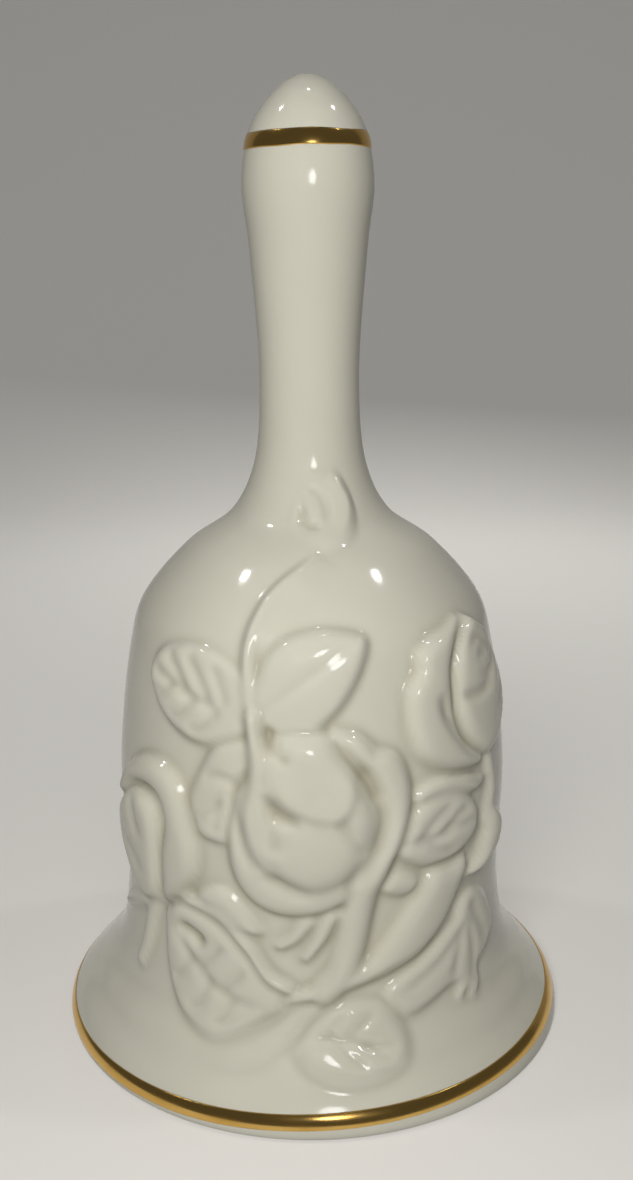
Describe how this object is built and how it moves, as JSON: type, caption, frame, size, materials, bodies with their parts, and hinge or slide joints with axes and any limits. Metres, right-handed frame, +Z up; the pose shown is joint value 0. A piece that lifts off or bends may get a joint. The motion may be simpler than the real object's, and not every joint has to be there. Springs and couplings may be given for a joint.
{
  "type": "porcelain hand bell",
  "caption": "Glazed porcelain table bell with raised roses on its sides, a slender handle, gilt bands at knob and rim, and a beaded wire clapper hung inside from a brass eye.",
  "frame": {"origin": "centre of the mouth on the plane of the lip's flat underside", "axes": "+Z up along the bell's axis to the tip of the handle, -Y towards the pictured front"},
  "size_m": [0.0832, 0.0832, 0.149],
  "materials": {
    "porcelain": "gloss",
    "gilding": "polished",
    "plug": "matte",
    "wire": "satin",
    "bead": "gloss"
  },
  "bodies": {
    "bell": {"porcelain_body": "porcelain", "rim_gilt_band": "gilding", "knob_gilt_band": "gilding", "crown_plug": "plug", "crown_eye": "wire"},
    "link": {"swing_link": "wire"},
    "clapper": {"clapper_wire": "wire", "upper_stop": "wire", "lower_stop": "wire"},
    "bead": {"clapper_bead": "bead"}
  },
  "joints": [
    {"name": "link_swing", "type": "hinge", "parent": "bell", "child": "link", "pos_m": [0, 0, 0.0806], "axis": [1, 0, 0], "range_deg": [-18.5, 18.5]},
    {"name": "clapper_swing", "type": "hinge", "parent": "link", "child": "clapper", "pos_m": [0, 0, 0.0737], "axis": [0, 1, 0], "range_deg": [-5, 5]},
    {"name": "bead_spin", "type": "hinge", "parent": "clapper", "child": "bead", "pos_m": [0, 0, 0.0176], "axis": [0, 0, 1], "continuous": true}
  ]
}
